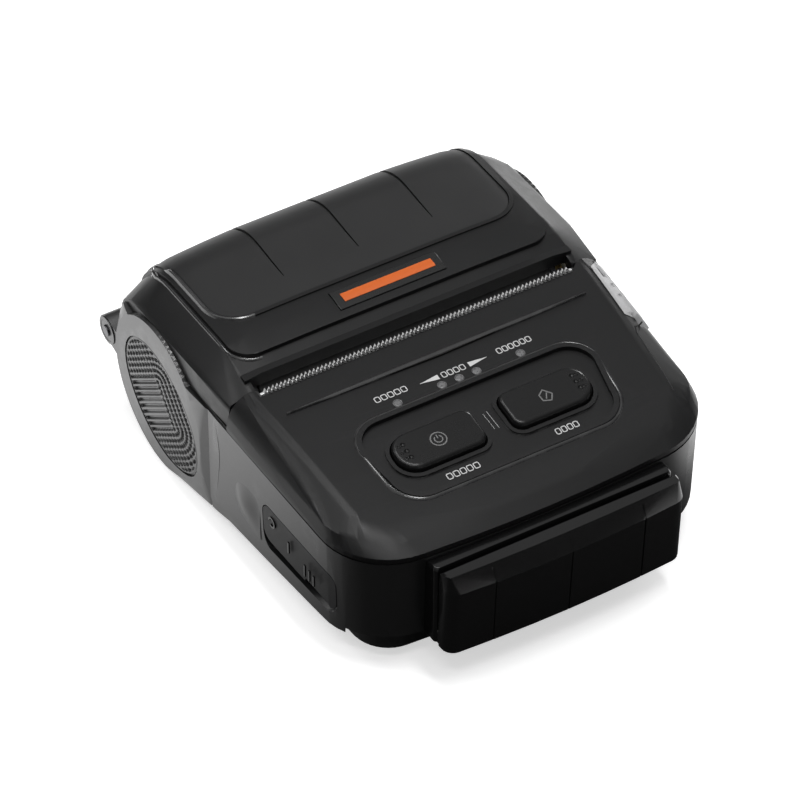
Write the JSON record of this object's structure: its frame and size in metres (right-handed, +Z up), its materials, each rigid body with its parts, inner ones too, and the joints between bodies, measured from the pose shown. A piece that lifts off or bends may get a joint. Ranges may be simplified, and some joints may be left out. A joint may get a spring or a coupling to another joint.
{
  "type": "portable label printer",
  "caption": "Handheld thermal label printer with a hinged lid over the paper roll, toothed tear edge, two keys, release lever, bottom battery and a stripe card reader on the front.",
  "frame": {"origin": "on the flat underside that the printer stands on, in the middle of its width, under the line between lid and front cover", "axes": "+X to the right as seen from the front, where the card reader is; -Y points out of the front; +Z up"},
  "size_m": [0.1072, 0.1339, 0.0507],
  "materials": {
    "cover_plastic": "fine matt grain, near black",
    "case_plastic": "matt moulded case, dark grey",
    "key_plastic": "matt key caps",
    "pad_rubber": "soft matt rubber",
    "roller_rubber": "ground rubber",
    "lever_plastic": "light grey matt plastic",
    "inner_plastic": "plain moulded plastic",
    "gear_plastic": "off-white gear plastic",
    "steel": "plain steel",
    "brass": "plain brass",
    "aluminium": "extruded aluminium",
    "head_ceramic": "glazed ceramic",
    "lens_plastic": "clear lamp lens",
    "board": "green circuit board",
    "pack_plastic": "matt battery case"
  },
  "bodies": {
    "case": {"lower_case": "case_plastic", "battery_bay": "inner_plastic", "base_plate": "cover_plastic", "case_screws": "steel", "left_grip_panel": "case_plastic", "right_grip_panel": "case_plastic", "top_cover": "cover_plastic", "tear_bar": "steel", "indicator_lenses": "lens_plastic", "key_switches": "inner_plastic", "panel_board": "board", "main_board": "board", "mech_frame": "inner_plastic", "head_pin": "steel", "head_springs": "steel", "motor": "steel", "idler_pin": "steel", "paper_cradle": "inner_plastic", "paper_sensor": "inner_plastic", "hinge_pin": "steel", "hinge_caps": "case_plastic", "lid_spring": "steel", "port_board": "board", "dc_jack": "cover_plastic", "usb_socket": "steel", "battery_contacts": "brass", "reader_rear": "cover_plastic", "reader_front": "cover_plastic"},
    "lid": {"lid_cover": "cover_plastic", "lid_pad": "pad_rubber", "badge_plate": "cover_plastic", "lid_beam": "inner_plastic", "platen_bushes": "brass"},
    "platen": {"platen_roller": "roller_rubber", "platen_shaft": "steel", "platen_gear": "gear_plastic"},
    "idler": {"idler_gear": "gear_plastic"},
    "pinion": {"motor_pinion": "brass"},
    "power_key": {"power_button": "key_plastic"},
    "feed_key": {"feed_button": "key_plastic"},
    "release": {"release_lever": "lever_plastic", "latch_bar": "inner_plastic"},
    "flap": {"port_flap": "pad_rubber"},
    "battery": {"battery_pack": "pack_plastic"},
    "battery_catch": {"battery_latch": "case_plastic"},
    "head": {"print_head": "head_ceramic", "heat_sink": "aluminium"},
    "stripe_head": {"reader_head": "steel"}
  },
  "joints": [
    {"name": "lid_hinge", "type": "hinge", "parent": "case", "child": "lid", "pos_m": [0, 0.0586, 0.022], "axis": [-1, 0, 0], "range_deg": [0, 95], "deforming": ["lid_spring"]},
    {"name": "platen_spin", "type": "hinge", "parent": "lid", "child": "platen", "pos_m": [0, 0.0076, 0.0385], "axis": [1, 0, 0], "continuous": true},
    {"name": "idler_spin", "type": "hinge", "parent": "case", "child": "idler", "pos_m": [0, -0.0014, 0.02778], "axis": [1, 0, 0], "continuous": true},
    {"name": "pinion_spin", "type": "hinge", "parent": "case", "child": "pinion", "pos_m": [0, -0.01328, 0.02945], "axis": [1, 0, 0], "continuous": true},
    {"name": "power_press", "type": "slide", "parent": "case", "child": "power_key", "axis": [0, 0, -1], "range_m": [0, 0.0008], "stiffness_N_per_m": 1500},
    {"name": "feed_press", "type": "slide", "parent": "case", "child": "feed_key", "axis": [0, 0, -1], "range_m": [0, 0.0008], "stiffness_N_per_m": 1500},
    {"name": "release_slide", "type": "slide", "parent": "case", "child": "release", "axis": [0, -1, 0], "range_m": [0, 0.0026], "stiffness_N_per_m": 600},
    {"name": "flap_hinge", "type": "hinge", "parent": "case", "child": "flap", "pos_m": [-0.051, -0.0156, 0.021], "axis": [0, 0, -1], "range_deg": [0, 110]},
    {"name": "battery_slide", "type": "slide", "parent": "case", "child": "battery", "axis": [0, 0, -1], "range_m": [0, 0.02]},
    {"name": "battery_catch_slide", "type": "slide", "parent": "case", "child": "battery_catch", "axis": [0, 1, 0], "range_m": [0, 0.0024], "stiffness_N_per_m": 400},
    {"name": "head_tilt", "type": "hinge", "parent": "case", "child": "head", "pos_m": [0, -0.0005, 0.027], "axis": [1, 0, 0], "range_deg": [0, 3], "stiffness_Nm_per_rad": 3, "deforming": ["head_springs"]},
    {"name": "stripe_head_press", "type": "slide", "parent": "case", "child": "stripe_head", "axis": [0, -1, 0], "range_m": [0, 0.0005], "stiffness_N_per_m": 1000}
  ],
  "couplings": [
    {"joint": "idler_spin", "follows": "platen_spin", "ratio": -0.55556},
    {"joint": "pinion_spin", "follows": "platen_spin", "ratio": 1.6667}
  ]
}
